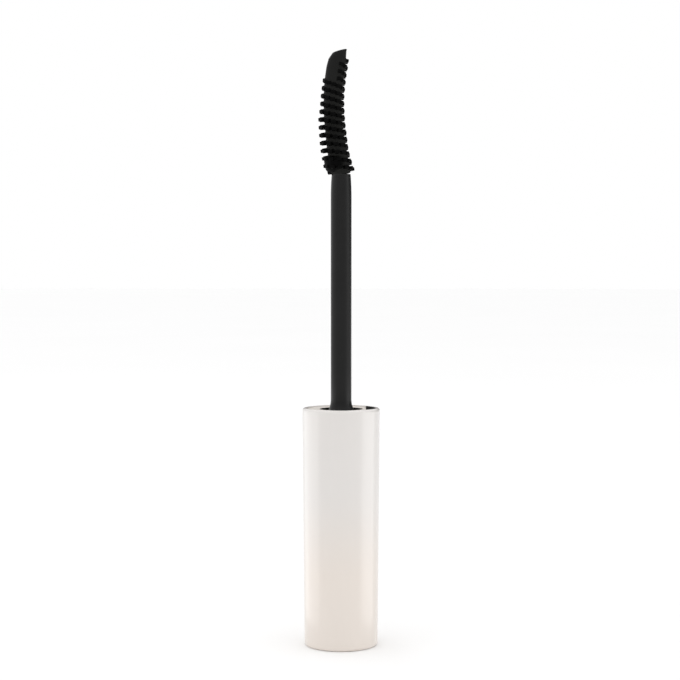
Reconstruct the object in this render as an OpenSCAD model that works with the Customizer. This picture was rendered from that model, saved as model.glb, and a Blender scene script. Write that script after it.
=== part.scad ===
// Wand and cap of a mascara tube, standing on the cap's closed end.
// Units are millimetres. +Z runs from the closed end to the tip of the brush,
// the brush bows towards -X, and the origin is the centre of the closed end.

/* [Cap shell] */
// Height of the cap, from the closed end to the mouth
cap_h = 51.9; // [48:0.1:56]
// Outside diameter at the closed end
closed_d = 16; // [15:0.1:17]
// Outside diameter at the mouth
mouth_d = 16.9; // [16.5:0.1:18]
// Wall thickness of the shell
wall = 0.9; // [0.8:0.05:1]
// Thickness of the closed end
floor_t = 1.3; // [1:0.1:2]
// Edge radius round the closed end
foot_round = 0.6; // [0.3:0.1:1]

/* [Inner sleeve and threaded insert] */
// Depth of the sleeve's face below the mouth
face_drop = 0.25; // [0.2:0.05:0.6]
// Radius of the opening for the bottle's neck, at the thread's root
neck_r = 4.3; // [4.25:0.01:4.4]
// Depth of the thread ridge
ridge_depth = 0.5; // [0.3:0.05:0.6]
// Height that the thread climbs in one turn
thread_pitch = 2.4; // [2:0.1:3]
// Number of turns of thread
thread_turns = 2; // [1.5:0.25:2.5]

/* [Stem] */
// Diameter of the stem where it leaves the cap
stem_d = 4.5; // [4.2:0.02:4.8]
// Height of the stem's end, where the brush starts
stem_end = 102.6; // [99:0.1:104]
// Radius of the sealing collar at the foot of the stem
collar_r = 3.1; // [2.9:0.05:3.2]

/* [Brush] */
// Height of the tip of the brush
tip_z = 129.6; // [128:0.1:132]
// Radius of the brush's core
core_r = 1.95; // [1.8:0.05:2.1]
// How far the core bows to one side
bow = 1.84; // [1:0.02:2.2]
// Height that one row of bristles climbs in a turn
row_lead = 3.22; // [2.8:0.02:3.6]
// Bristles in one turn of a row
row_bristles = 12; // [8:2:12]
// Length of the longest bristles, low down and on the bowed side
long_bristle = 1.2; // [0.9:0.05:1.3]
// Length of the short bristles on the hollow side
short_bristle = 0.45; // [0.3:0.05:0.6]

/* [Weight] */
// Height of the steel weight
weight_h = 10; // [8:0.5:12]

/* [Hidden] */
$fn = 96;

closed_r = closed_d / 2;
mouth_r = mouth_d / 2;
lip_round = 0.65;
lip_chamfer = 0.15;
slack = 0.05;
eps = 0.01;

rib_depth = 0.3;
rib_w = 0.8;
rib_count = 4;
key_rib_w = 1.2;
key_rib_depth = 0.45;

weight_z = floor_t + slack;
pad_h = 1;
pad_z = weight_z + weight_h + slack;
sleeve_z = pad_z + pad_h + slack;
sleeve_top = cap_h - face_drop;
sleeve_lip = 1;
insert_r = 6.15;
insert_top = sleeve_top - sleeve_lip - slack;
cavity_z = cap_h - 13.5;
insert_z = cavity_z - 4.4;
window_x = 5.42;
face_gap = 0.05;
neck_wall = 0.35;
key_top = cap_h - 0.05;

gasket_h = 1;
root_r = 1.9;
barb_r = 2.15;
stem_r = stem_d / 2;
stem_tip_r = 2.06;
shank_r = 1.18;
shank_h = 8.4;
shank_z = stem_end - shank_h;
bead_z = shank_z + 2;
bead_r = 1.28;
bead_h = 0.5;

spine_r = 0.9;
spine_top = 22;
brush_h = tip_z - stem_end;
brush_sides = 3 * row_bristles;
curve_h = brush_h * 1.067;
curve_skew = 1.06;
foot_r = stem_tip_r - 0.05;
foot_blend = 1.5;
foot_h = 0.55;
bare_z = 20.2;
row_starts = 2;
row_step = row_lead / row_bristles;
row_count = floor((brush_h - foot_h - 2) / row_step);
end_r = 1.8;

// Points of an arc about (cx, cy), from angle a to angle b.
function arc(cx, cy, r, a, b, n = 8) =
    [for (i = [0:n]) let(t = a + (b - a) * i / n) [cx + r * cos(t), cy + r * sin(t)]];

// Radius of the shell's outside and inside at height z.
function shell_out(z) = closed_r + (mouth_r - closed_r) * z / cap_h;
function shell_in(z) = shell_out(z) - wall;

// Sideways place of the brush's centre line at height h above the stem, and its slope.
function bow_x(h) = -bow * sin(180 * pow(max(h, 0) / curve_h, curve_skew));
function bow_angle(h) = atan((bow_x(h + 0.2) - bow_x(h - 0.2)) / 0.4) * min(1, max(0, h) / foot_blend);

// A point at angle a on a ring of radius r, square to the centre line at height h.
function ring_point(h, r, a, tilt) =
    [bow_x(h) + r * cos(a) * cos(tilt), r * sin(a), stem_end + h - r * cos(a) * sin(tilt)];

// Closed skin over rings of points; each ring has the same number of points.
module skin(rings) {
    n = len(rings);
    sides = len(rings[0]);
    walls = [for (i = [0:n - 2]) for (k = [0:sides - 1])
        let(m = (k + 1) % sides)
        each [[i * sides + k, (i + 1) * sides + k, (i + 1) * sides + m],
            [i * sides + k, (i + 1) * sides + m, i * sides + m]]];
    first_face = [for (k = [0:sides - 1]) k];
    last_face = [for (k = [sides - 1:-1:0]) (n - 1) * sides + k];
    polyhedron(points = [for (ring = rings) each ring],
        faces = concat([first_face], walls, [last_face]), convexity = 6);
}

// Even ring of radius r round the brush's centre line at height h, with an extra tilt and shift.
function even_ring(h, r, tilt = 0, aside = 0) =
    [for (k = [0:brush_sides - 1])
        ring_point(h, r, 360 * k / brush_sides, bow_angle(h) + tilt) + [aside, 0, 0]];

// Rings of the stiff spine from the stem's end to its tapered end, for a given radius at the foot.
function spine_rings(r, top) = concat(
    [even_ring(0, r)],
    [for (h = [1.5:1.5:spine_top - 1]) even_ring(h, r * (1 - 0.35 * h / spine_top))],
    [even_ring(top, r * 0.6)]);

// Straight rings of the shank, given as [height above the shank's foot, radius].
function shank_rings(steps) =
    [for (step = steps) even_ring(step[0] - shank_h, step[1])];

// Vertical ribs that stand inwards from a wall.
module inside_ribs(count, w, depth, z0, z1, first) {
    for (i = [0:count - 1])
        rotate(first + 360 * i / count)
            translate([shell_in(z1) - depth, -w / 2, z0])
                cube([depth + wall / 2, w, z1 - z0]);
}

// Segment beyond x that follows the shell's inside, less a gap, between two heights.
module side_segment(z0, z1, x, gap) {
    intersection() {
        translate([0, 0, z0])
            cylinder(r1 = shell_in(z0) - gap, r2 = shell_in(z1) - gap, h = z1 - z0);
        translate([x, -mouth_r, z0]) cube([mouth_r, 2 * mouth_r, z1 - z0]);
    }
}

module cap_shell() {
    outside = concat([[0, 0]],
        arc(closed_r - foot_round, foot_round, foot_round, -90, 0),
        arc(mouth_r - lip_round, cap_h - lip_round, lip_round, 0, 90));
    inside = [[mouth_r - wall + lip_chamfer, cap_h], [shell_in(cap_h), cap_h - lip_chamfer],
        [shell_in(floor_t), floor_t], [0, floor_t]];
    color("WhiteSmoke") {
        rotate_extrude() polygon(concat(outside, inside));
        inside_ribs(rib_count, rib_w, rib_depth, floor_t - eps, weight_z + weight_h, 45);
        inside_ribs(2, key_rib_w, key_rib_depth, sleeve_z + 2, cap_h - 8, 90);
    }
}

module weight() {
    r = shell_in(weight_z) - rib_depth - slack;
    edge = 0.5;
    color("Silver") rotate_extrude()
        polygon([[0, weight_z], [r - edge, weight_z], [r, weight_z + edge],
            [r, weight_z + weight_h - edge], [r - edge, weight_z + weight_h],
            [0, weight_z + weight_h]]);
}

module weight_pad() {
    r = shell_in(pad_z) - 2 * rib_depth;
    hole_r = 1.5;
    color("DimGray") translate([0, 0, pad_z]) difference() {
        cylinder(r = r, h = pad_h);
        translate([0, 0, -eps]) cylinder(r = hole_r, h = pad_h + 2 * eps);
    }
}

module inner_sleeve() {
    lip_z = sleeve_top - sleeve_lip;
    edge = 0.2;
    color("Tan") difference() {
        rotate_extrude()
            polygon([[insert_r + slack, sleeve_z], [shell_in(sleeve_z) - slack, sleeve_z],
                [shell_in(sleeve_top) - slack, sleeve_top - edge],
                [shell_in(sleeve_top) - slack - edge, sleeve_top],
                [neck_r + neck_wall + slack, sleeve_top], [neck_r + neck_wall + slack, lip_z],
                [insert_r + slack, lip_z]]);
        side_segment(insert_z, cap_h, window_x, -wall / 2);
        inside_slots();
    }
}

// Slots in the sleeve's outside that take the shell's two key ribs.
module inside_slots() {
    for (a = [90, 270])
        rotate(a)
            translate([shell_in(cap_h - 8) - key_rib_depth - slack, -key_rib_w / 2 - slack, sleeve_z - eps])
                cube([2, key_rib_w + 2 * slack, cap_h - 8 + slack - sleeve_z + eps]);
}

// Thread ridge as one strip of rings that climbs round the bore and fades at both ends.
module thread_ridge() {
    steps = 32;
    n = floor(thread_turns * steps);
    foot = 0.75;
    crest = 0.3;
    z0 = cavity_z + gasket_h + 3.2;
    points = [for (i = [0:n])
        let(a = 360 * i / steps, z = z0 + thread_pitch * i / steps,
            grow = min(1, min(i, n - i) / 5 + 0.1), tip_r = neck_r - ridge_depth * grow)
        for (p = [[neck_r + 0.3, -foot], [tip_r, -crest], [tip_r, crest], [neck_r + 0.3, foot]])
            [p[0] * cos(a), p[0] * sin(a), z + p[1]]];
    walls = [for (i = [0:n - 1]) for (k = [0:3]) let(m = (k + 1) % 4)
        [4 * i + k, 4 * i + 4 + k, 4 * i + 4 + m, 4 * i + m]];
    polyhedron(points = points, faces = concat([[0, 1, 2, 3]], walls,
        [[4 * n + 3, 4 * n + 2, 4 * n + 1, 4 * n]]), convexity = 6);
}

module thread_insert() {
    lead_in = 0.35;
    collar_top = sleeve_top - face_gap;
    color([0.12, 0.12, 0.12]) {
        rotate_extrude()
            polygon([[root_r + slack, insert_z], [insert_r - lead_in, insert_z],
                [insert_r, insert_z + lead_in], [insert_r, insert_top],
                [neck_r + neck_wall, insert_top], [neck_r + neck_wall, collar_top],
                [neck_r + 0.15, collar_top], [neck_r, collar_top - 0.2],
                [neck_r, cavity_z], [root_r + slack, cavity_z]]);
        difference() {
            side_segment(insert_z + slack, key_top, window_x + slack, slack);
            translate([0, 0, insert_z]) cylinder(r = neck_r + neck_wall / 2, h = cap_h);
        }
        thread_ridge();
    }
}

module neck_gasket() {
    color([0.25, 0.25, 0.25]) translate([0, 0, cavity_z]) difference() {
        cylinder(r = neck_r - slack, h = gasket_h);
        translate([0, 0, -eps]) cylinder(r = collar_r + slack, h = gasket_h + 2 * eps);
    }
}

module stem() {
    flare_h = 2.9;
    flare_z = cap_h - 1.1;
    shoulder_h = 5;
    socket_r = shank_r + 0.02;
    color([0.1, 0.1, 0.1]) rotate_extrude()
        polygon(concat(
            [[0, insert_z - 1.1], [root_r - 0.3, insert_z - 1.1], [barb_r, insert_z - 0.4],
                [barb_r, insert_z - slack], [root_r, insert_z - slack], [root_r, cavity_z],
                [collar_r, cavity_z], [collar_r, flare_z]],
            [for (i = [1:8]) let(t = i / 8)
                [stem_r + (collar_r - stem_r) * pow(1 - t, 2), flare_z + flare_h * t]],
            [[stem_r, stem_end - shoulder_h]],
            [for (i = [1:6]) let(t = i / 6)
                [stem_r - (stem_r - stem_tip_r) * t * t, stem_end - shoulder_h + (shoulder_h - 0.15) * t]],
            [[stem_tip_r - 0.03, stem_end], [socket_r + 0.1, stem_end], [socket_r, stem_end - 0.1],
                [socket_r, bead_z + bead_h + slack], [bead_r + 0.03, bead_z + bead_h],
                [bead_r + 0.03, bead_z - 0.02], [socket_r, bead_z - slack],
                [socket_r, shank_z - 0.3], [0, shank_z - 0.9]]));
}

module brush_spine() {
    bead_h0 = bead_z - shank_z;
    color([0.2, 0.2, 0.2]) skin(concat(
        shank_rings([[0, shank_r - 0.25], [0.3, shank_r], [bead_h0, shank_r],
            [bead_h0 + 0.1, bead_r], [bead_h0 + bead_h - 0.1, bead_r],
            [bead_h0 + bead_h, shank_r], [shank_h - 0.25, shank_r]]),
        spine_rings(spine_r - slack, spine_top - slack)));
}

// How far the bristles reach from the core at height h on the bowed side, and on the hollow side.
function bowed_side(h) = long_bristle
    * lookup(h, [[0.5, 0.65], [2.2, 1], [8.5, 1], [12.5, 0.9], [14, 0.65], [18, 0.35], [20, 0.2]]);
function hollow_side(h) = max(short_bristle,
    long_bristle * lookup(h, [[0.7, 0.75], [2.3, 0.5], [3.9, 0.35]]));
function bristle_len(h, a) =
    hollow_side(h) + (bowed_side(h) - hollow_side(h)) * (1 - cos(a)) / 2;

// Radius of the core at height h, fuller low down and tapered at the tip.
function core_at(h) = core_r
    + lookup(h, [[0.5, 0], [1.5, 0.17], [6, 0.15], [9, 0], [16, 0], [20, 0.1], [23, 0.1], [25, -0.08]]);

// How far the bulge at the brush's foot stands out of the core at height h and angle a.
function bulge(h, a) = lookup(h, [[0.5, 0], [1.3, 0.9], [3.7, 0.8], [4.5, 0]]) * (1 - cos(a)) / 2;

// Whether point k of ring i lies on a bristle: two points wide and two rings high.
function on_bristle(i, k) =
    let(p = (k + 3 * i) % (brush_sides / row_starts))
    p == 0 || p == 1 || p == 3 || p == 4;

// Ring i of the bristle rows, with its bristle points pushed out from the core.
function row_ring(i) =
    let(h = foot_h + row_step * i)
    [for (k = [0:brush_sides - 1])
        let(a = 360 * k / brush_sides, bare = h > bare_z && cos(a) < 0.1)
        let(rise = on_bristle(i, k) && !bare ? bristle_len(h, a) : bulge(h, a))
        ring_point(h, core_at(h) + rise, a, bow_angle(h))];

module bristle_sleeve() {
    inner = spine_rings(spine_r, spine_top);
    color([0.07, 0.07, 0.07]) skin(concat(
        [for (i = [len(inner) - 1:-1:0]) inner[i]],
        [even_ring(0, foot_r), even_ring(foot_h - row_step, core_r)],
        [for (i = [0:row_count]) row_ring(i)],
        [even_ring(brush_h - 1.65, end_r + 0.05, -10), even_ring(brush_h - 0.98, end_r, -28),
            even_ring(brush_h - 0.12, end_r * 0.66, -16, 0.4)]));
}

cap_shell();
weight();
weight_pad();
inner_sleeve();
thread_insert();
neck_gasket();
stem();
brush_spine();
bristle_sleeve();
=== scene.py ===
"""Looks for a mascara applicator: a round cap, a slim stem and a bowed brush."""

import logging
import math
from collections.abc import Callable, Iterable
from dataclasses import dataclass
from enum import Enum

import bmesh
import bpy
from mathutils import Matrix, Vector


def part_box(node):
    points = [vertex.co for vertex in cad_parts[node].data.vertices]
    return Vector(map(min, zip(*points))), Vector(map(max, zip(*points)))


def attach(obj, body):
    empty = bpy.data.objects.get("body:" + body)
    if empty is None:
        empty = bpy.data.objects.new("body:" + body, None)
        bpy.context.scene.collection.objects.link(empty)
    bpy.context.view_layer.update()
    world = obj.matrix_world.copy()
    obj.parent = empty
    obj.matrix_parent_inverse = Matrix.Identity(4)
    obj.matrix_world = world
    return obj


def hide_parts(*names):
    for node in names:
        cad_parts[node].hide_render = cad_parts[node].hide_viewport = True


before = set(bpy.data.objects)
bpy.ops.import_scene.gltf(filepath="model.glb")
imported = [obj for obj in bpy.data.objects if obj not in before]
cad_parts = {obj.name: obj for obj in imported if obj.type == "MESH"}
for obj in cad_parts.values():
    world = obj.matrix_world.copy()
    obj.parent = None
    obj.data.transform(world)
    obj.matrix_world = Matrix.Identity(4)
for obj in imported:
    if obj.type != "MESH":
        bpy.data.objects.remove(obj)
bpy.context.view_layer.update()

logging.basicConfig(level=logging.INFO, format="%(message)s")
log = logging.getLogger("applicator")

MM = 0.001
FULL_TURN = 2 * math.pi
# Thickness of the disc that a drawn rod starts from.
THIN = 0.02 * MM
# Rise of a step that looks flat.
HAIR = 0.001 * MM
# Least share of a face's normal that points up at a slanted top, or straight along an axis.
UPWARD = 0.7
STRAIGHT = 0.9


class Slot(Enum):
    """Material slots of the record."""

    CAP = "cap_plastic"
    WEIGHT = "weight_steel"
    PAD = "pad_foam"
    SLEEVE = "sleeve_plastic"
    INSERT = "insert_plastic"
    GASKET = "gasket_rubber"
    STEM = "stem_plastic"
    SPINE = "spine_plastic"
    BRUSH = "brush_elastomer"


class Pick(Enum):
    """What an edit-mode selection is made of."""

    EDGES = "EDGE"
    FACES = "FACE"


# ---------------------------------------------------------------- bench work


def put_down() -> None:
    """Leaves edit mode and deselects every object."""
    if bpy.context.object and bpy.context.object.mode != "OBJECT":
        bpy.ops.object.mode_set(mode="OBJECT")
    bpy.ops.object.select_all(action="DESELECT")


def take_up(*pieces: bpy.types.Object) -> None:
    """Selects these pieces alone and makes the first one active.

    Args:
        pieces: the pieces to work on next.
    """
    put_down()
    for piece in pieces:
        piece.select_set(True)
    bpy.context.view_layer.objects.active = pieces[0]


def settle(piece: bpy.types.Object) -> None:
    """Moves a piece's place, turn and scale into its mesh.

    Args:
        piece: the piece whose object goes back to the origin.
    """
    take_up(piece)
    bpy.ops.object.transform_apply(location=True, rotation=True, scale=True)


def add_rod(name: str, radius: float, low: float, high: float, sides: int) -> bpy.types.Object:
    """Adds a closed upright rod on the Z axis.

    Args:
        name: the piece's name.
        radius: the rod's radius.
        low: height of its foot.
        high: height of its top.
        sides: how many sides it has.

    Returns:
        The new piece, with its place in its mesh.
    """
    put_down()
    bpy.ops.mesh.primitive_cylinder_add(
        vertices=sides, radius=radius, depth=high - low, location=(0, 0, (low + high) / 2)
    )
    piece = bpy.context.object
    piece.name = name
    settle(piece)
    return piece


def finish_with(piece: bpy.types.Object, kind: str, **settings: object) -> None:
    """Adds one modifier to a piece and applies it.

    Args:
        piece: the piece to finish.
        kind: Blender's name for the modifier.
        settings: the modifier's own settings.
    """
    take_up(piece)
    modifier = piece.modifiers.new(kind.lower(), kind)
    for key, value in settings.items():
        setattr(modifier, key, value)
    bpy.ops.object.modifier_apply(modifier=modifier.name)


def smooth(piece: bpy.types.Object, degrees: float = 35) -> None:
    """Shades a piece smooth, with creases where it turns sharply.

    Args:
        piece: the piece to shade.
        degrees: the least angle that stays a crease.
    """
    take_up(piece)
    bpy.ops.object.shade_smooth_by_angle(angle=math.radians(degrees))


class Bench:
    """An edit-mode session on one piece, which selects by place or normal."""

    def __init__(self, piece: bpy.types.Object) -> None:
        """Keeps the piece that the session works on."""
        self.piece = piece

    def __enter__(self) -> "Bench":
        """Opens the piece in edit mode.

        Returns:
            The session itself.
        """
        take_up(self.piece)
        bpy.ops.object.mode_set(mode="EDIT")
        return self

    def __exit__(self, *_: object) -> None:
        """Goes back to object mode."""
        bpy.ops.object.mode_set(mode="OBJECT")

    def select(self, pick: Pick, test: Callable[[object], bool]) -> None:
        """Selects the elements that pass a test.

        Args:
            pick: edges or faces.
            test: what a chosen element passes.
        """
        bpy.ops.mesh.select_mode(type=pick.value)
        bpy.ops.mesh.select_all(action="DESELECT")
        shape = bmesh.from_edit_mesh(self.piece.data)
        elements = shape.edges if pick is Pick.EDGES else shape.faces
        for element in elements:
            if test(element):
                element.select_set(True)
        bmesh.update_edit_mesh(self.piece.data)

    def select_top(self) -> None:
        """Selects the flat face that ends the piece at the top."""
        top = max(v.co.z for v in bmesh.from_edit_mesh(self.piece.data).verts) - HAIR
        self.select(Pick.FACES, lambda f: f.normal.z > UPWARD and f.calc_center_median().z > top)

    def select_hoop(self, height: float, radius: float) -> None:
        """Selects the round edge at a height and radius.

        Args:
            height: the hoop's height.
            radius: the hoop's radius.
        """

        def on_hoop(vert: bmesh.types.BMVert) -> bool:
            """Tells whether a point lies on the hoop."""
            out = math.hypot(vert.co.x, vert.co.y)
            return abs(vert.co.z - height) < THIN and abs(out - radius) < THIN

        self.select(Pick.EDGES, lambda e: all(on_hoop(vert) for vert in e.verts))

    def draw(self, rise: float, ratio: float) -> None:
        """Extrudes the selected face up or down and resizes its end.

        Args:
            rise: how far it goes up.
            ratio: new radius over old.
        """
        bpy.ops.mesh.extrude_region_move(TRANSFORM_OT_translate={"value": (0, 0, rise)})
        bpy.ops.transform.resize(value=(ratio, ratio, 1), center_override=(0, 0, 0))

    def draw_through(self, start: float, stations: Iterable[tuple[float, float]], radius: float) -> None:
        """Extrudes the selected face through a row of heights and radii.

        Args:
            start: height of the selected face.
            stations: pairs of height and radius.
            radius: radius of the selected face.
        """
        for height, next_radius in stations:
            self.draw(height - start, next_radius / radius)
            start, radius = height, next_radius


# ------------------------------------------------------------ node groups


class Effect:
    """A shader node group with named inputs and outputs, built once."""

    def __init__(self, name: str, inputs: dict[str, float], outputs: Iterable[str]) -> None:
        """Makes the empty group.

        Args:
            name: the group's name.
            inputs: socket names and starting values.
            outputs: names of the values it puts out.
        """
        self.tree = bpy.data.node_groups.new(name, "ShaderNodeTree")
        for key, value in inputs.items():
            socket = self.tree.interface.new_socket(key, in_out="INPUT", socket_type="NodeSocketFloat")
            socket.default_value = value
        for key in outputs:
            self.tree.interface.new_socket(key, in_out="OUTPUT", socket_type="NodeSocketFloat")
        self.entry = self.tree.nodes.new("NodeGroupInput").outputs
        self.exit = self.tree.nodes.new("NodeGroupOutput").inputs

    def node(self, kind: str, **settings: object) -> bpy.types.Node:
        """Adds a node to the group with its settings."""
        return add_node(self.tree, kind, **settings)

    def join(self, start: bpy.types.NodeSocket, end: bpy.types.NodeSocket) -> None:
        """Links two sockets of the group."""
        self.tree.links.new(start, end)


def add_node(tree: bpy.types.NodeTree, kind: str, **settings: object) -> bpy.types.Node:
    """Adds one node to a tree.

    Args:
        tree: the material's or the group's tree.
        kind: the node's type, without its ShaderNode prefix.
        settings: attributes to set on it.

    Returns:
        The new node.
    """
    node = tree.nodes.new("ShaderNode" + kind)
    for key, value in settings.items():
        setattr(node, key, value)
    return node


def make_moulded_grain() -> bpy.types.NodeTree:
    """Builds the fine, uneven skin of a moulded part.

    Returns:
        A group with a height for bump and a mask for roughness and tone.
    """
    effect = Effect("moulded_grain", {"Scale": 900.0, "Waviness": 60.0, "Mix": 0.5}, ("Height", "Tone"))
    place = effect.node("TexCoord").outputs["Object"]
    fine = effect.node("TexNoise")
    fine.inputs["Detail"].default_value = 3
    broad = effect.node("TexNoise")
    broad.inputs["Detail"].default_value = 2
    effect.join(place, fine.inputs["Vector"])
    effect.join(place, broad.inputs["Vector"])
    effect.join(effect.entry["Scale"], fine.inputs["Scale"])
    effect.join(effect.entry["Waviness"], broad.inputs["Scale"])
    blend = effect.node("Mix")
    effect.join(effect.entry["Mix"], blend.inputs["Factor"])
    effect.join(fine.outputs["Fac"], blend.inputs["A"])
    effect.join(broad.outputs["Fac"], blend.inputs["B"])
    effect.join(blend.outputs["Result"], effect.exit["Height"])
    effect.join(broad.outputs["Fac"], effect.exit["Tone"])
    return effect.tree


def make_height_fade() -> bpy.types.NodeTree:
    """Builds a soft change up the part between two heights.

    Returns:
        A group whose mask rises from 0 at the low height to 1 at the high one.
    """
    effect = Effect("height_fade", {"Low": 0.0, "High": 0.05, "Unevenness": 0.002}, ("Mask",))
    place = effect.node("TexCoord").outputs["Object"]
    parts = effect.node("SeparateXYZ")
    effect.join(place, parts.inputs["Vector"])
    cloud = effect.node("TexNoise")
    cloud.inputs["Scale"].default_value = 90
    effect.join(place, cloud.inputs["Vector"])
    swing = effect.node("Math", operation="SUBTRACT")
    noise_middle = 0.5
    swing.inputs[1].default_value = noise_middle
    effect.join(cloud.outputs["Fac"], swing.inputs[0])
    drift = effect.node("Math", operation="MULTIPLY_ADD")
    effect.join(swing.outputs["Value"], drift.inputs[0])
    effect.join(effect.entry["Unevenness"], drift.inputs[1])
    effect.join(parts.outputs["Z"], drift.inputs[2])
    span = effect.node("MapRange", interpolation_type="SMOOTHSTEP")
    effect.join(drift.outputs["Value"], span.inputs["Value"])
    effect.join(effect.entry["Low"], span.inputs["From Min"])
    effect.join(effect.entry["High"], span.inputs["From Max"])
    effect.join(span.outputs["Result"], effect.exit["Mask"])
    return effect.tree


def make_edge_wear_and_shade() -> bpy.types.NodeTree:
    """Builds a mask along a part's convex edges: slight polish and wear on the plastics, painted shade
    on the brush's convex points.

    Returns:
        A group whose mask is 1 on a rubbed edge, broken up by a noise.
    """
    effect = Effect("edge_wear_and_shade", {"Sharpness": 12.0, "Breakup": 400.0}, ("Mask",))
    edge = effect.node("NewGeometry").outputs["Pointiness"]
    lift = effect.node("Math", operation="SUBTRACT")
    nearly_flat = 0.52
    lift.inputs[1].default_value = nearly_flat
    effect.join(edge, lift.inputs[0])
    strong = effect.node("Math", operation="MULTIPLY", use_clamp=True)
    effect.join(lift.outputs["Value"], strong.inputs[0])
    effect.join(effect.entry["Sharpness"], strong.inputs[1])
    speck = effect.node("TexNoise")
    effect.join(effect.node("TexCoord").outputs["Object"], speck.inputs["Vector"])
    effect.join(effect.entry["Breakup"], speck.inputs["Scale"])
    worn_and_shaded = effect.node("Math", operation="MULTIPLY", use_clamp=True)
    effect.join(strong.outputs["Value"], worn_and_shaded.inputs[0])
    effect.join(speck.outputs["Fac"], worn_and_shaded.inputs[1])
    effect.join(worn_and_shaded.outputs["Value"], effect.exit["Mask"])
    return effect.tree


GRAIN = make_moulded_grain()
FADE = make_height_fade()
EDGE_WEAR_AND_SHADE = make_edge_wear_and_shade()


class Recipe:
    """A material under way: one Principled shader and what feeds it."""

    def __init__(self, name: str) -> None:
        """Makes the material with its shader.

        Args:
            name: the material's name.
        """
        self.material = bpy.data.materials.new(name)
        self.material.use_nodes = True
        self.tree = self.material.node_tree
        self.shader = self.tree.nodes["Principled BSDF"]

    def constant(self, **values: float) -> None:
        """Sets constants on the shader, with spaces in names as underscores."""
        for key, value in values.items():
            self.shader.inputs[key.replace("_", " ")].default_value = value

    def effect(self, tree: bpy.types.NodeTree, **values: float) -> bpy.types.NodeOutputs:
        """Places an effect in the material.

        Args:
            tree: the effect's node group.
            values: its inputs, by name.

        Returns:
            The effect's outputs.
        """
        group = add_node(self.tree, "Group", node_tree=tree)
        for key, value in values.items():
            group.inputs[key].default_value = value
        return group.outputs

    def blend(
        self,
        mask: bpy.types.NodeSocket,
        first: tuple[float, float, float] | bpy.types.NodeSocket,
        second: tuple[float, float, float],
    ) -> bpy.types.NodeSocket:
        """Mixes two colours by a mask.

        Args:
            mask: 0 for the first colour and 1 for the second.
            first: a colour, or a socket that carries one.
            second: a colour.

        Returns:
            The mixed colour.
        """
        mix = add_node(self.tree, "Mix", data_type="RGBA")
        self.tree.links.new(mask, mix.inputs["Factor"])
        if isinstance(first, tuple):
            mix.inputs["A"].default_value = (*first, 1)
        else:
            self.tree.links.new(first, mix.inputs["A"])
        mix.inputs["B"].default_value = (*second, 1)
        return mix.outputs["Result"]

    def spread(self, mask: bpy.types.NodeSocket, low: float, high: float) -> bpy.types.NodeSocket:
        """Turns a mask into a value between two limits.

        Args:
            mask: a value from 0 to 1.
            low: result where the mask is 0.
            high: result where the mask is 1.

        Returns:
            The ranged value.
        """
        span = add_node(self.tree, "MapRange")
        self.tree.links.new(mask, span.inputs["Value"])
        span.inputs["To Min"].default_value = low
        span.inputs["To Max"].default_value = high
        return span.outputs["Result"]

    def feed(self, socket: bpy.types.NodeSocket, name: str) -> None:
        """Links a value to one of the shader's inputs."""
        self.tree.links.new(socket, self.shader.inputs[name])

    def bump(self, height: bpy.types.NodeSocket, strength: float, depth: float) -> None:
        """Feeds the shader's normal from a height.

        Args:
            height: the height field.
            strength: how much of it shows.
            depth: its depth in metres.
        """
        relief = add_node(self.tree, "Bump")
        relief.inputs["Strength"].default_value = strength
        relief.inputs["Distance"].default_value = depth
        self.tree.links.new(height, relief.inputs["Height"])
        self.feed(relief.outputs["Normal"], "Normal")


# ---------------------------------------------------------------- finishes


@dataclass(frozen=True)
class CreamGloss:
    """Satin-gloss cream plastic of the cap, warmer towards the closed end."""

    upper: tuple[float, float, float] = (0.74, 0.71, 0.685)
    lower: tuple[float, float, float] = (0.78, 0.71, 0.65)
    edge_wear_and_shade_tone: tuple[float, float, float] = (0.88, 0.86, 0.83)
    fade_low: float = 14 * MM
    fade_high: float = 36 * MM
    smoothest: float = 0.26
    roughest: float = 0.36

    def build(self) -> bpy.types.Material:
        """Builds the material.

        Returns:
            The finished material.
        """
        recipe = Recipe("cream_gloss")
        fade = recipe.effect(FADE, Low=self.fade_low, High=self.fade_high, Unevenness=3 * MM)
        grain = recipe.effect(GRAIN, Scale=2600, Waviness=140, Mix=0.35)
        edge_wear_and_shade_mask = recipe.effect(EDGE_WEAR_AND_SHADE, Sharpness=6, Breakup=700)
        body = recipe.blend(fade["Mask"], self.lower, self.upper)
        recipe.feed(recipe.blend(edge_wear_and_shade_mask["Mask"], body, self.edge_wear_and_shade_tone), "Base Color")
        recipe.feed(recipe.spread(grain["Tone"], self.smoothest, self.roughest), "Roughness")
        recipe.bump(grain["Height"], strength=0.12, depth=0.02 * MM)
        recipe.constant(Coat_Weight=0.6, Coat_Roughness=0.1, IOR=1.49)
        return recipe.material


@dataclass(frozen=True)
class MouldedPlastic:
    """Plain moulded plastic with a fine grain and slightly scuffed edges."""

    name: str
    tone: tuple[float, float, float]
    second_tone: tuple[float, float, float]
    edge_wear_and_shade_tone: tuple[float, float, float]
    smoothest: float = 0.38
    roughest: float = 0.52
    grain: float = 2200
    relief: float = 0.02 * MM
    index: float = 1.4
    sheen: float = 0.5

    def build(self) -> bpy.types.Material:
        """Builds the material.

        Returns:
            The finished material.
        """
        recipe = Recipe(self.name)
        grain = recipe.effect(GRAIN, Scale=self.grain, Waviness=self.grain / 12, Mix=0.4)
        edge_wear_and_shade_mask = recipe.effect(EDGE_WEAR_AND_SHADE, Sharpness=10, Breakup=self.grain / 3)
        body = recipe.blend(grain["Tone"], self.tone, self.second_tone)
        recipe.feed(recipe.blend(edge_wear_and_shade_mask["Mask"], body, self.edge_wear_and_shade_tone), "Base Color")
        recipe.feed(recipe.spread(grain["Tone"], self.smoothest, self.roughest), "Roughness")
        recipe.bump(grain["Height"], strength=0.25, depth=self.relief)
        recipe.constant(IOR=self.index, Specular_IOR_Level=self.sheen)
        return recipe.material


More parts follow.
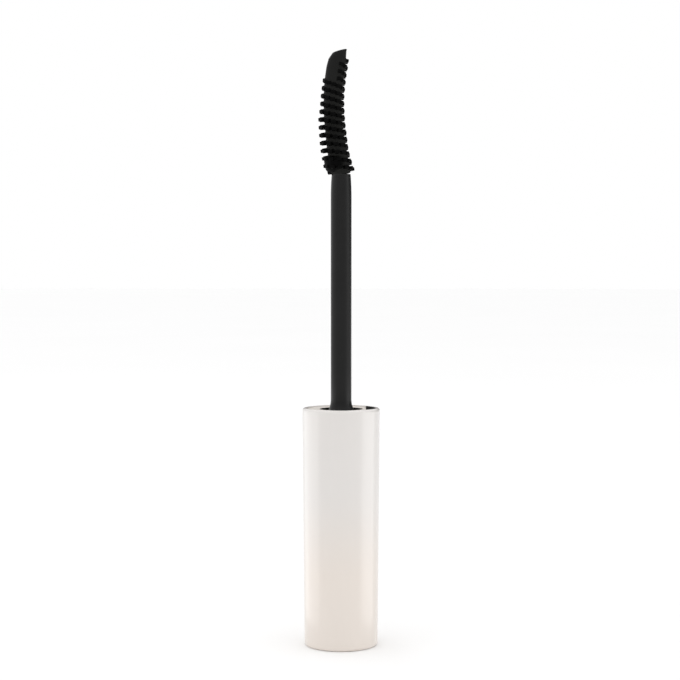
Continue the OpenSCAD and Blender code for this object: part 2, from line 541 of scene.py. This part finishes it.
@dataclass(frozen=True)
class Elastomer:
    """Soft black rubber, deepest black on the bristles and greyer on bare skin: the near-black bristles
    are painted shade between the rows, and the greyer core between them is a painted sheen.
    """

    name: str = "bristle_rubber"
    reach_mark: str = "reach"
    # Partly the rubber's own tone, partly a painted sheen on the core between the bristle rows.
    core_tone: tuple[float, float, float] = (0.016, 0.016, 0.015)
    bare_tone: tuple[float, float, float] = (0.013, 0.013, 0.0125)
    # Painted shade: the bristles are painted near-black, as shade between the rows.
    bristle_painted_shade_tone: tuple[float, float, float] = (0.0005, 0.0005, 0.0005)
    # Painted shade: the edge mask pulls the brush's convex points towards this near-black.
    edge_wear_and_shade_tone: tuple[float, float, float] = (0.003, 0.003, 0.003)
    fade_low: float = 119 * MM
    fade_high: float = 126 * MM
    smoothest: float = 0.42
    roughest: float = 0.62

    def build(self) -> bpy.types.Material:
        """Builds the material.

        Returns:
            The finished material.
        """
        recipe = Recipe(self.name)
        fade = recipe.effect(FADE, Low=self.fade_low, High=self.fade_high, Unevenness=2 * MM)
        grain = recipe.effect(GRAIN, Scale=3200, Waviness=520, Mix=0.5)
        # On the brush the edge mask paints shade on its convex points instead of wear.
        edge_wear_and_shade_mask = recipe.effect(EDGE_WEAR_AND_SHADE, Sharpness=5, Breakup=1500)
        reach = add_node(recipe.tree, "Attribute", attribute_name=self.reach_mark).outputs["Fac"]
        body = recipe.blend(fade["Mask"], self.core_tone, self.bare_tone)
        # Painted shade on the bristles by their reach; the core between the rows stays lighter as a
        # painted sheen.
        body = recipe.blend(reach, body, self.bristle_painted_shade_tone)
        recipe.feed(recipe.blend(edge_wear_and_shade_mask["Mask"], body, self.edge_wear_and_shade_tone), "Base Color")
        recipe.feed(recipe.spread(grain["Tone"], self.smoothest, self.roughest), "Roughness")
        recipe.bump(grain["Height"], strength=0.35, depth=0.03 * MM)
        recipe.constant(IOR=1.4, Specular_IOR_Level=0.08)
        return recipe.material


@dataclass(frozen=True)
class TurnedSteel:
    """Steel turned on a lathe, with fine rings across its faces."""

    tone: tuple[float, float, float] = (0.52, 0.52, 0.53)
    dull_tone: tuple[float, float, float] = (0.40, 0.40, 0.42)
    ring_scale: float = 900
    smoothest: float = 0.28
    roughest: float = 0.42

    def build(self) -> bpy.types.Material:
        """Builds the material.

        Returns:
            The finished material.
        """
        recipe = Recipe("turned_steel")
        place = add_node(recipe.tree, "TexCoord").outputs["Object"]
        rings = add_node(recipe.tree, "TexWave", wave_type="RINGS", rings_direction="Z")
        rings.inputs["Scale"].default_value = self.ring_scale
        rings.inputs["Distortion"].default_value = 1.5
        recipe.tree.links.new(place, rings.inputs["Vector"])
        grain = recipe.effect(GRAIN, Scale=1500, Waviness=90, Mix=0.5)
        recipe.feed(recipe.blend(grain["Tone"], self.tone, self.dull_tone), "Base Color")
        recipe.feed(recipe.spread(rings.outputs["Fac"], self.smoothest, self.roughest), "Roughness")
        recipe.bump(rings.outputs["Fac"], strength=0.3, depth=0.01 * MM)
        recipe.constant(Metallic=1.0)
        return recipe.material


@dataclass(frozen=True)
class CellFoam:
    """Closed-cell foam with small round cells in its skin."""

    tone: tuple[float, float, float] = (0.10, 0.10, 0.11)
    cell_tone: tuple[float, float, float] = (0.05, 0.05, 0.055)
    cell_scale: float = 1800
    smoothest: float = 0.75
    roughest: float = 0.95

    def build(self) -> bpy.types.Material:
        """Builds the material.

        Returns:
            The finished material.
        """
        recipe = Recipe("cell_foam")
        place = add_node(recipe.tree, "TexCoord").outputs["Object"]
        cells = add_node(recipe.tree, "TexVoronoi")
        cells.inputs["Scale"].default_value = self.cell_scale
        recipe.tree.links.new(place, cells.inputs["Vector"])
        hollow = cells.outputs["Distance"]
        recipe.feed(recipe.blend(hollow, self.cell_tone, self.tone), "Base Color")
        recipe.feed(recipe.spread(hollow, self.smoothest, self.roughest), "Roughness")
        recipe.bump(hollow, strength=0.6, depth=0.1 * MM)
        return recipe.material


def dress(piece: bpy.types.Object, material: bpy.types.Material) -> None:
    """Gives a piece one material, in place of any it has.

    Args:
        piece: the piece or CAD node to dress.
        material: its finish.
    """
    if not piece.material_slots:
        piece.data.materials.append(material)
    for place in piece.material_slots:
        place.link = "OBJECT"
        place.material = material


def hand_over(piece: bpy.types.Object, node: str) -> None:
    """Registers a finished piece in the frame in place of its CAD node.

    Args:
        piece: the finished piece.
        node: the CAD node that it stands for.
    """
    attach(piece, "root")
    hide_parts(node)
    log.info("%s: %d faces", piece.name, len(piece.data.polygons))


# ---------------------------------------------------------------- the cap


@dataclass
class Cap:
    """The cap's outer shell, a tapered cup that stands on its closed end."""

    closed_radius: float = 8.0 * MM
    mouth_radius: float = 8.45 * MM
    wall: float = 0.9 * MM
    floor: float = 1.3 * MM
    foot_round: float = 0.6 * MM
    lip_round: float = 0.65 * MM
    inner_lip_round: float = 0.15 * MM
    bands: int = 8
    sides: int = 160

    def build(self) -> bpy.types.Object:
        """Builds the shell from one rod: taper, hollow, then round its edges.

        Returns:
            The finished shell.
        """
        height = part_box("cap_shell")[1][2]
        shell = add_rod("cap_cup", self.closed_radius, 0, height, self.sides)
        widening = self.mouth_radius - self.closed_radius
        floor_radius = self.closed_radius - self.wall + widening * self.floor / height
        with Bench(shell) as bench:
            bench.select_top()
            taper = self.mouth_radius / self.closed_radius
            bpy.ops.transform.resize(value=(taper, taper, 1), center_override=(0, 0, 0))
            bpy.ops.mesh.inset(thickness=self.wall)
            bench.draw(self.floor - height, floor_radius / (self.mouth_radius - self.wall))
            bench.select_hoop(0, self.closed_radius)
            bpy.ops.mesh.bevel(offset=self.foot_round, segments=7, profile=0.5, affect="EDGES")
            bench.select_hoop(height, self.mouth_radius)
            bpy.ops.mesh.bevel(offset=self.lip_round, segments=6, profile=0.5, affect="EDGES")
            bench.select_hoop(height, self.mouth_radius - self.wall)
            bpy.ops.mesh.bevel(offset=self.inner_lip_round, segments=3, profile=0.5, affect="EDGES")
            self._girdle(height)
        smooth(shell)
        finish_with(shell, "WEIGHTED_NORMAL", keep_sharp=True)
        return shell

    def _girdle(self, height: float) -> None:
        """Cuts hoops round the wall so that its long faces are not slivers.

        Args:
            height: the cap's height.
        """
        for step in range(1, self.bands):
            bpy.ops.mesh.select_all(action="SELECT")
            bpy.ops.mesh.bisect(plane_co=(0, 0, height * step / self.bands), plane_no=(0, 0, 1))

    def dress(self, shell: bpy.types.Object) -> None:
        """Dresses the shell and hands it over."""
        dress(shell, CreamGloss().build())
        hand_over(shell, "cap_shell")


# ---------------------------------------------------------------- the stem


@dataclass
class Stem:
    """The wand's stem, with its barbed root, trumpet foot and brush socket."""

    radius: float = 2.25 * MM
    tip_radius: float = 2.06 * MM
    collar_radius: float = 3.1 * MM
    root_radius: float = 1.9 * MM
    barb_radius: float = 2.15 * MM
    socket_radius: float = 1.2 * MM
    groove_radius: float = 1.31 * MM
    root_chamfer: float = 0.3 * MM
    barb_rise: float = 0.7 * MM
    barb_top: float = 1.05 * MM
    collar_length: float = 12.4 * MM
    flare_length: float = 2.9 * MM
    hoop_gap: float = 6 * MM
    hoop_clearance: float = 1 * MM
    shoulder: float = 5.0 * MM
    end_rim: float = 0.15 * MM
    end_chamfer: float = 0.03 * MM
    socket_chamfer: float = 0.1 * MM
    socket_depth: float = 8.7 * MM
    groove_depth: float = 6.4 * MM
    groove_height: float = 0.5 * MM
    groove_slope: float = 0.05 * MM
    sides: int = 72

    def build(self) -> bpy.types.Object:
        """Builds the stem by drawing one rod through its stations.

        Returns:
            The finished stem.
        """
        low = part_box("stem")[0][2]
        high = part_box("stem")[1][2]
        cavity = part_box("neck_gasket")[0][2]
        start_radius = self.root_radius - self.root_chamfer
        stations = self._root(low, cavity) + self._shaft(cavity + self.collar_length, high)
        stem = add_rod("wand_stem", start_radius, low, low + THIN, self.sides)
        with Bench(stem) as bench:
            bench.select_top()
            bench.draw_through(low + THIN, stations, start_radius)
            self._sink_socket(bench, high)
        smooth(stem, degrees=40)
        finish_with(stem, "WEIGHTED_NORMAL", keep_sharp=True)
        return stem

    def _root(self, low: float, cavity: float) -> list[tuple[float, float]]:
        """Lists the stations of the barbed root and the collar's foot.

        Args:
            low: height of the stem's foot.
            cavity: height of the neck cavity's floor.

        Returns:
            Pairs of height and radius.
        """
        return [
            (low + self.barb_rise, self.barb_radius),
            (low + self.barb_top, self.barb_radius),
            (low + self.barb_top + HAIR, self.root_radius),
            (cavity, self.root_radius),
            (cavity + HAIR, self.collar_radius),
        ]

    def _shaft(self, flare: float, high: float) -> list[tuple[float, float]]:
        """Lists the stations of the trumpet, the straight shaft and the narrowed end.

        Args:
            flare: height where the trumpet starts.
            high: height of the stem's end.

        Returns:
            Pairs of height and radius.
        """
        flare_steps = 14
        widening = self.collar_radius - self.radius
        trumpet = [
            (
                flare + self.flare_length * step / flare_steps,
                self.radius + widening * (1 - step / flare_steps) ** 2,
            )
            for step in range(flare_steps + 1)
        ]
        straight = flare + self.flare_length
        shoulder_z = high - self.shoulder
        hoops = int((shoulder_z - self.hoop_clearance - straight) / self.hoop_gap)
        shaft = [(straight + self.hoop_gap * n, self.radius) for n in range(1, hoops + 1)]
        neck_steps = 8
        narrowing = self.radius - self.tip_radius
        neck = [
            (
                shoulder_z + (self.shoulder - self.end_rim) * step / neck_steps,
                self.radius - narrowing * (step / neck_steps) ** 2,
            )
            for step in range(neck_steps + 1)
        ]
        return trumpet + shaft + neck + [(high, self.tip_radius - self.end_chamfer)]

    def _sink_socket(self, bench: Bench, high: float) -> None:
        """Sinks the brush's socket and its snap groove into the end.

        Args:
            bench: the open session, with the end face selected.
            high: height of the end.
        """
        end = self.tip_radius - self.end_chamfer
        mouth = self.socket_radius + self.socket_chamfer
        groove = high - self.groove_depth
        bpy.ops.mesh.inset(thickness=end - mouth)
        steps = [
            (high - self.socket_chamfer, self.socket_radius),
            (groove + self.groove_height + self.groove_slope, self.socket_radius),
            (groove + self.groove_height, self.groove_radius),
            (groove - THIN, self.groove_radius),
            (groove - self.groove_slope, self.socket_radius),
            (high - self.socket_depth, self.socket_radius),
        ]
        bench.draw_through(high, steps, mouth)

    def dress(self, stem: bpy.types.Object) -> None:
        """Dresses the stem and hands it over.

        Args:
            stem: the finished stem.
        """
        finish = MouldedPlastic(
            name="stem_satin_black",
            tone=(0.004, 0.004, 0.004),
            second_tone=(0.007, 0.007, 0.007),
            edge_wear_and_shade_tone=(0.02, 0.02, 0.02),
            smoothest=0.30,
            roughest=0.40,
            grain=2600,
            relief=0.008 * MM,
            index=1.32,
        )
        dress(stem, finish.build())
        hand_over(stem, "stem")


# ---------------------------------------------------------------- the brush

# Height above the stem's end against finger length, or against the bulge's and the core's
# radius, all in millimetres.
BOWED_SIDE = [
    (0.5, 0.6), (1.1, 1.2), (2.2, 1.4), (5, 1.45), (8.5, 1.42), (12.5, 1.25),
    (14, 0.85), (16, 0.7), (18, 0.55), (20, 0.35),
]
HOLLOW_SIDE = [
    (0.7, 1.0), (2.3, 0.65), (3.9, 0.48), (5.5, 0.42), (8.5, 0.65), (14, 0.63),
    (17, 0.55), (22, 0.5), (24.9, 0.62),
]
BULGE = [(0.35, 1.2), (0.7, 1.9), (1.4, 2.5), (2.2, 2.6), (3.4, 2.6), (3.9, 2.3), (4.4, 1.5)]
CORE = [
    (0.5, 2.0), (1.5, 2.12), (6, 2.1), (9, 1.95), (16, 1.95), (20, 2.05), (23, 2.05), (25, 1.87),
]

# Length and narrowing of a peg's three stretches, as shares of its length and width.
PEG = ((0.6, 1.0), (0.3, 1.0), (0.1, 0.82))


@dataclass(frozen=True)
class TipRing:
    """One ring of the slanted tip.

    Its drop is in millimetres below the tip and its share is of the end's radius. Its
    turn, in degrees, and its shift, in millimetres, start from the ring below it.
    """

    drop: float
    share: float
    turn: float
    shift: float


TIP = (
    TipRing(drop=2.1, share=1.03, turn=8, shift=0),
    TipRing(drop=0.98, share=1.0, turn=20, shift=0),
    TipRing(drop=0.38, share=0.86, turn=-6, shift=0.18),
    TipRing(drop=0.2, share=0.66, turn=-6, shift=0.22),
)


@dataclass
class Brush:
    """The bowed elastomer brush: a bored core with two spiral rows of fingers."""

    core_radius: float = 1.95 * MM
    foot_radius: float = 2.03 * MM
    end_radius: float = 1.8 * MM
    bore_radius: float = 0.9 * MM
    bore_end_ratio: float = 0.62
    bore_length: float = 22 * MM
    bow: float = 1.84 * MM
    bow_length: float = 28.8 * MM
    bow_skew: float = 1.06
    row_lead: float = 3.22 * MM
    first_row: float = 0.68 * MM
    last_row: float = 24.9 * MM
    bare_above: float = 20.2 * MM
    bare_edge: float = 0.1
    per_turn: int = 12
    rows: int = 2
    bulge_shift: float = 0.6 * MM
    finger_width: float = 1.0 * MM
    finger_height: float = 0.7 * MM
    peg_length: float = 1.0 * MM
    least_peg: float = 0.1 * MM
    footing_depth: float = 0.8 * MM
    footing_width: float = 1.5 * MM
    footing_height: float = 0.9 * MM
    footing_rise: float = 0.3 * MM
    foot_height: float = 0.5 * MM
    voxel: float = 0.09 * MM
    hoops: int = 32
    sides: int = 64

    def bow_at(self, height: float) -> float:
        """Gives the sideways place of the centre line.

        Args:
            height: height above the stem's end.

        Returns:
            The centre line's X.
        """
        share = max(height, 0) / self.bow_length
        return -self.bow * math.sin(math.pi * share**self.bow_skew)

    def reach(self, height: float, angle: float) -> float:
        """Gives how far a finger stands out of the core.

        Args:
            height: the finger's height above the stem's end.
            angle: its bearing round the core.

        Returns:
            The finger's length.
        """
        bowed = lookup(height / MM, BOWED_SIDE)
        hollow = lookup(height / MM, HOLLOW_SIDE)
        share = (1 - math.cos(angle)) / 2
        return (hollow + (bowed - hollow) * share) * MM

    def build(self) -> bpy.types.Object:
        """Builds the brush straight, fuses it, then bows it along its centre line.

        Returns:
            The finished brush.
        """
        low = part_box("bristle_sleeve")[0][2]
        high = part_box("bristle_sleeve")[1][2]
        length = self._run(high - low)
        core = self._core(length)
        take_up(core, self._bulge(), *self._fingers())
        bpy.ops.object.join()
        finish_with(core, "REMESH", mode="VOXEL", voxel_size=self.voxel)
        finish_with(core, "SMOOTH", factor=0.5, iterations=1)
        finish_with(core, "DECIMATE", ratio=0.5)
        self._bow(core, low, high - low)
        self._mark_reach(core, low)
        smooth(core, degrees=60)
        return core

    def _run(self, height: float) -> float:
        """Gives the length along the centre line up to a height.

        Args:
            height: height above the stem's end.

        Returns:
            The length of the bowed line.
        """
        count = 80
        rises = [height * n / count for n in range(count + 1)]
        return sum(
            math.hypot(self.bow_at(b) - self.bow_at(a), b - a) for a, b in zip(rises, rises[1:])
        )

    def _core_at(self, height: float) -> float:
        """Gives the core's radius, fuller low down and tapered at the tip."""
        return lookup(height / MM, CORE) * MM

    def _core(self, length: float) -> bpy.types.Object:
        """Builds the straight core with its slanted tip and its bore.

        Args:
            length: the core's length.

        Returns:
            The straight core.
        """
        core = add_rod("brush_moulding", self.foot_radius, 0, self.foot_height, self.sides)
        rises = [length * n / self.hoops for n in range(1, self.hoops - 2)]
        stations = [(rise, self._core_at(rise)) for rise in rises]
        with Bench(core) as bench:
            bench.select_top()
            bench.draw_through(self.foot_height, stations, self.foot_radius)
            height, radius = stations[-1]
            for ring in TIP:
                end = length - ring.drop * MM
                bench.draw(end - height, ring.share * self.end_radius / radius)
                bpy.ops.transform.translate(value=(0, ring.shift * MM, 0))
                bpy.ops.transform.rotate(
                    value=-math.radians(ring.turn), orient_axis="X", center_override=(0, 0, end)
                )
                height, radius = end, ring.share * self.end_radius
            bench.select(Pick.FACES, lambda f: f.normal.z < -STRAIGHT)
            bpy.ops.mesh.inset(thickness=self.foot_radius - self.bore_radius)
            bench.draw(self.bore_length, self.bore_end_ratio)
        return core

    def _bulge(self) -> bpy.types.Object:
        """Builds the lump at the brush's foot, thick on the bowed side only.

        Returns:
            The lump, on the straight core.
        """
        stations = [(height * MM, radius * MM) for height, radius in BULGE]
        (low, foot), *rest = stations
        bulge = add_rod("bulge", foot, low, low + THIN, self.sides)
        with Bench(bulge) as bench:
            bench.select_top()
            bench.draw_through(low + THIN, rest, foot)
            bpy.ops.mesh.select_all(action="SELECT")
            bpy.ops.transform.translate(value=(0, -self.bulge_shift, 0))
        return bulge

    def _finger(self) -> bpy.types.Object:
        """Models one finger: a footing on the core and a blunt, rounded peg.

        Returns:
            The finger, standing along +X out of the core.
        """
        put_down()
        middle = self.core_radius + self.footing_rise - self.footing_depth / 2
        bpy.ops.mesh.primitive_cube_add(size=1, location=(middle, 0, 0))
        finger = bpy.context.object
        finger.name = "finger"
        finger.scale = (self.footing_depth, self.footing_width, self.footing_height)
        settle(finger)
        with Bench(finger) as bench:
            bench.select(Pick.FACES, lambda f: f.normal.x > STRAIGHT)
            across = self.finger_width / self.footing_width
            upright = self.finger_height / self.footing_height
            bpy.ops.transform.resize(value=(1, across, upright), center_override=(0, 0, 0))
            for share, ratio in PEG:
                out = (share * self.peg_length, 0, 0)
                bpy.ops.mesh.extrude_region_move(TRANSFORM_OT_translate={"value": out})
                bpy.ops.transform.resize(value=(1, ratio, ratio), center_override=(0, 0, 0))
        return finger

    def _fingers(self) -> list[bpy.types.Object]:
        """Copies the finger along both rows, turned, lifted and cut to length.

        Returns:
            Every finger, each with its own mesh.
        """
        pattern = self._finger()
        fingers = []
        step = self.row_lead / self.per_turn
        for row in range(self.rows):
            for place in range(int((self.last_row - self.first_row) / step) + 1):
                rise = self.first_row + step * place
                angle = -FULL_TURN * place / self.per_turn + FULL_TURN * row / self.rows
                if rise > self.bare_above and math.cos(angle) < self.bare_edge:
                    continue
                finger = pattern.copy()
                finger.data = pattern.data.copy()
                bpy.context.collection.objects.link(finger)
                self._stretch(finger, rise, angle)
                finger.rotation_euler.z = angle + math.pi / 2
                finger.location.z = self._run(rise)
                fingers.append(finger)
        bpy.data.objects.remove(pattern)
        return fingers

    def _stretch(self, finger: bpy.types.Object, rise: float, angle: float) -> None:
        """Gives a finger the length that its place calls for.

        Args:
            finger: the finger, still along +X.
            rise: its height above the stem's end.
            angle: its bearing round the core.
        """
        root = self.core_radius + self.footing_rise
        swell = self._core_at(rise) - self.core_radius
        stretch = max(self.reach(rise, angle) - self.footing_rise, self.least_peg) / self.peg_length
        for vert in finger.data.vertices:
            if vert.co.x > root - THIN / 2:
                vert.co.x = root + (vert.co.x - root) * stretch
            vert.co.x += swell

    def _bow(self, brush: bpy.types.Object, low: float, height: float) -> None:
        """Bows the straight brush along its centre line.

        Args:
            brush: the straight brush.
            low: height of the stem's end.
            height: the brush's height.
        """
        count = 90
        path = bpy.data.curves.new("centre_line", "CURVE")
        path.dimensions = "3D"
        path.twist_mode = "MINIMUM"
        line = path.splines.new("POLY")
        line.points.add(count)
        for n, point in enumerate(line.points):
            rise = height * n / count
            point.co = (self.bow_at(rise), 0, low + rise, 1)
        guide = bpy.data.objects.new("centre_line", path)
        bpy.context.collection.objects.link(guide)
        finish_with(brush, "CURVE", object=guide, deform_axis="POS_Z")
        bpy.data.objects.remove(guide)
        bpy.data.curves.remove(path)

    def _mark_reach(self, brush: bpy.types.Object, low: float) -> None:
        """Notes in the mesh how far each point stands out of the core.

        Args:
            brush: the bowed brush.
            low: height of the stem's end.
        """
        # This reach drives the bristles' painted shade in the brush's material.
        marks = brush.data.attributes.new(Elastomer.reach_mark, "FLOAT", "POINT")
        for vert, mark in zip(brush.data.vertices, marks.data):
            rise = vert.co.z - low
            out = math.hypot(vert.co.x - self.bow_at(rise), vert.co.y)
            mark.value = min(1, max(0, (out - self._core_at(rise)) / self.footing_rise))

    def dress(self, brush: bpy.types.Object) -> None:
        """Dresses the brush and hands it over."""
        dress(brush, Elastomer().build())
        hand_over(brush, "bristle_sleeve")


def lookup(value: float, table: list[tuple[float, float]]) -> float:
    """Reads a value between the stations of a short table.

    Args:
        value: where to read.
        table: pairs of place and result, in rising order.

    Returns:
        The result, held level beyond both ends.
    """
    if value <= table[0][0]:
        return table[0][1]
    for (a, first), (b, second) in zip(table, table[1:]):
        if value <= b:
            return first + (second - first) * (value - a) / (b - a)
    return table[-1][1]


# ------------------------------------------------------- the inside pieces


@dataclass
class Innards:
    """The pieces inside the cap, whose CAD shapes are kept and dressed."""

    edge_grey: tuple[float, float, float] = (0.05, 0.05, 0.05)

    def dress(self) -> None:
        """Dresses each inner piece in its own finish."""
        sleeve = MouldedPlastic(
            name="sleeve_beige",
            tone=(0.78, 0.72, 0.66),
            second_tone=(0.70, 0.64, 0.58),
            edge_wear_and_shade_tone=(0.82, 0.78, 0.74),
        )
        insert = MouldedPlastic(
            name="insert_black",
            tone=(0.004, 0.004, 0.004),
            second_tone=(0.008, 0.008, 0.008),
            edge_wear_and_shade_tone=self.edge_grey,
            smoothest=0.8,
            roughest=0.95,
            sheen=0.0,
        )
        gasket = MouldedPlastic(
            name="gasket_black",
            tone=(0.03, 0.03, 0.03),
            second_tone=(0.045, 0.045, 0.045),
            edge_wear_and_shade_tone=self.edge_grey,
            smoothest=0.5,
            roughest=0.7,
        )
        spine = MouldedPlastic(
            name="spine_grey",
            tone=(0.07, 0.07, 0.07),
            second_tone=(0.09, 0.09, 0.09),
            edge_wear_and_shade_tone=(0.14, 0.14, 0.14),
        )
        finishes = {
            "inner_sleeve": sleeve,
            "thread_insert": insert,
            "neck_gasket": gasket,
            "brush_spine": spine,
            "weight": TurnedSteel(),
            "weight_pad": CellFoam(),
        }
        for node, finish in finishes.items():
            material = finish.build()
            dress(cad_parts[node], material)
            log.info("%s: dressed in %s", node, material.name)


# ---------------------------------------------------------------- the studio


@dataclass(frozen=True)
class Patch:
    """A round patch of the room's walls, dimmer or brighter than the rest.

    Its bearing is in degrees round from the camera's side, counter-clockwise from
    above. Core and edge are in degrees from its middle: up to the core it has its
    full strength, and at the edge it ends.
    """

    bearing: float
    core: float
    edge: float
    strength: float


@dataclass(frozen=True)
class Lamp:
    """A flat rectangular light that the camera doesn't see, turned in degrees."""

    name: str
    place: tuple[float, float, float]
    turn: tuple[float, float, float]
    size: tuple[float, float]
    power: float
    lights_surfaces: bool = True


@dataclass
class Studio:
    """Pale floor, soft lights and the camera."""

    distance: float = 0.3482
    camera_height: float = 0.08006
    tilt: float = math.radians(2.205)
    lens: float = 84.777
    aside: float = -0.25 * MM
    floor_radius: float = 12
    floor_depth: float = 0.02
    floor_round: float = 0.01
    overhead: float = 1.15
    around: float = 0.97
    walls_end: float = 0.2
    ceiling_starts: float = 0.6
    patches: tuple[Patch, ...] = (
        Patch(bearing=-5, core=52, edge=62, strength=0.68),
        Patch(bearing=84, core=12, edge=20, strength=1.8),
        Patch(bearing=148, core=44, edge=56, strength=0.05),
    )
    lamps: tuple[Lamp, ...] = (
        Lamp(
            name="left_strip",
            place=(-0.028, 0.0043, 0.0268),
            turn=(90, 0, -90),
            size=(0.0375, 0.053),
            power=0.0052,
            lights_surfaces=False,
        ),
        Lamp(
            name="right_strip",
            place=(0.028, -0.006, 0.0268),
            turn=(90, 0, 90),
            size=(0.0237, 0.053),
            power=0.0043,
            lights_surfaces=False,
        ),
        Lamp(name="top_box", place=(0.0, 0.1, 0.9), turn=(-6, 0, 0), size=(0.9, 0.9), power=0.5),
    )

    def build(self) -> None:
        """Sets up the floor, lights, world and camera."""
        self._floor()
        self._lights()
        self._world()
        self._camera()

    def _floor(self) -> None:
        """Lays the pale floor, a wide disc with a thin rounded edge."""
        floor = add_rod("studio_floor", self.floor_radius, -self.floor_depth, 0, 128)
        with Bench(floor) as bench:
            bench.select(Pick.EDGES, lambda e: all(abs(v.co.z) < THIN for v in e.verts))
            bpy.ops.mesh.bevel(offset=self.floor_round, segments=3, profile=0.5, affect="EDGES")
        recipe = Recipe("floor_paper")
        grain = recipe.effect(GRAIN, Scale=300, Waviness=4, Mix=0.5)
        paper = recipe.blend(grain["Tone"], (0.93, 0.93, 0.93), (0.95, 0.95, 0.95))
        recipe.feed(paper, "Base Color")
        recipe.constant(Roughness=0.9)
        dress(floor, recipe.material)

    def _lights(self) -> None:
        """Stands a low strip light close by on each side and hangs a soft box above.

        The strips show as reflections only.
        """
        for lamp in self.lamps:
            source = bpy.data.lights.new(lamp.name, "AREA")
            source.shape = "RECTANGLE"
            source.size, source.size_y = lamp.size
            source.energy = lamp.power
            light = bpy.data.objects.new(lamp.name, source)
            bpy.context.collection.objects.link(light)
            light.location = lamp.place
            light.rotation_euler = [math.radians(angle) for angle in lamp.turn]
            light.visible_camera = False
            light.visible_diffuse = lamp.lights_surfaces

    def _world(self) -> None:
        """Fills the room with soft white light, with one bright window and two dim walls."""
        world = bpy.data.worlds.new("studio_air")
        world.use_nodes = True
        tree = world.node_tree
        view = add_node(tree, "TexCoord").outputs["Generated"]
        level = add_node(tree, "Value").outputs["Value"]
        level.default_value = self.around
        for patch in self.patches:
            both = add_node(tree, "Math", operation="MULTIPLY")
            tree.links.new(level, both.inputs[0])
            tree.links.new(self._patch(tree, view, patch), both.inputs[1])
            level = both.outputs["Value"]
        parts = add_node(tree, "SeparateXYZ")
        tree.links.new(view, parts.inputs["Vector"])
        rise = add_node(tree, "MapRange", interpolation_type="SMOOTHSTEP")
        tree.links.new(parts.outputs["Z"], rise.inputs["Value"])
        rise.inputs["From Min"].default_value = self.walls_end
        rise.inputs["From Max"].default_value = self.ceiling_starts
        sky = self._blend(tree, rise.outputs["Result"], level, self.overhead)
        seen = add_node(tree, "LightPath").outputs["Is Camera Ray"]
        air = tree.nodes["Background"]
        air.inputs["Color"].default_value = (1, 1, 1, 1)
        tree.links.new(self._blend(tree, seen, sky, 1.0), air.inputs["Strength"])
        bpy.context.scene.world = world
        bpy.context.scene.view_settings.view_transform = "Standard"

    def _patch(
        self, tree: bpy.types.NodeTree, view: bpy.types.NodeSocket, patch: Patch
    ) -> bpy.types.NodeSocket:
        """Works out how much one patch dims or brightens the walls.

        Args:
            tree: the world's tree.
            view: the direction that is looked in.
            patch: the patch.

        Returns:
            A factor for the light's strength.
        """
        turn = math.radians(patch.bearing)
        near = add_node(tree, "VectorMath", operation="DOT_PRODUCT")
        near.inputs[1].default_value = (math.sin(turn), -math.cos(turn), 0)
        tree.links.new(view, near.inputs[0])
        fall = add_node(tree, "MapRange", interpolation_type="SMOOTHSTEP")
        tree.links.new(near.outputs["Value"], fall.inputs["Value"])
        fall.inputs["From Min"].default_value = math.cos(math.radians(patch.edge))
        fall.inputs["From Max"].default_value = math.cos(math.radians(patch.core))
        fall.inputs["To Min"].default_value = 1.0
        fall.inputs["To Max"].default_value = patch.strength
        return fall.outputs["Result"]

    def _blend(
        self,
        tree: bpy.types.NodeTree,
        mask: bpy.types.NodeSocket,
        low: bpy.types.NodeSocket,
        high: float,
    ) -> bpy.types.NodeSocket:
        """Mixes a value towards a constant.

        Args:
            tree: the world's tree.
            mask: 0 for the value and 1 for the constant.
            low: the value.
            high: the constant.

        Returns:
            The mixed value.
        """
        mix = add_node(tree, "Mix")
        tree.links.new(mask, mix.inputs["Factor"])
        tree.links.new(low, mix.inputs["A"])
        mix.inputs["B"].default_value = high
        return mix.outputs["Result"]

    def _camera(self) -> None:
        """Sets the camera in front of the part, looking slightly down."""
        lens = bpy.data.cameras.new("studio_camera")
        lens.lens = self.lens
        camera = bpy.data.objects.new("studio_camera", lens)
        bpy.context.collection.objects.link(camera)
        camera.location = (self.aside, -self.distance, self.camera_height)
        camera.rotation_euler = (math.pi / 2 - self.tilt, 0, 0)
        bpy.context.scene.camera = camera


def main() -> None:
    """Builds the applicator piece by piece, then the studio round it."""
    for maker in (Cap(), Stem(), Brush()):
        maker.dress(maker.build())
    Innards().dress()
    Studio().build()


if __name__ == "__main__":
    main()
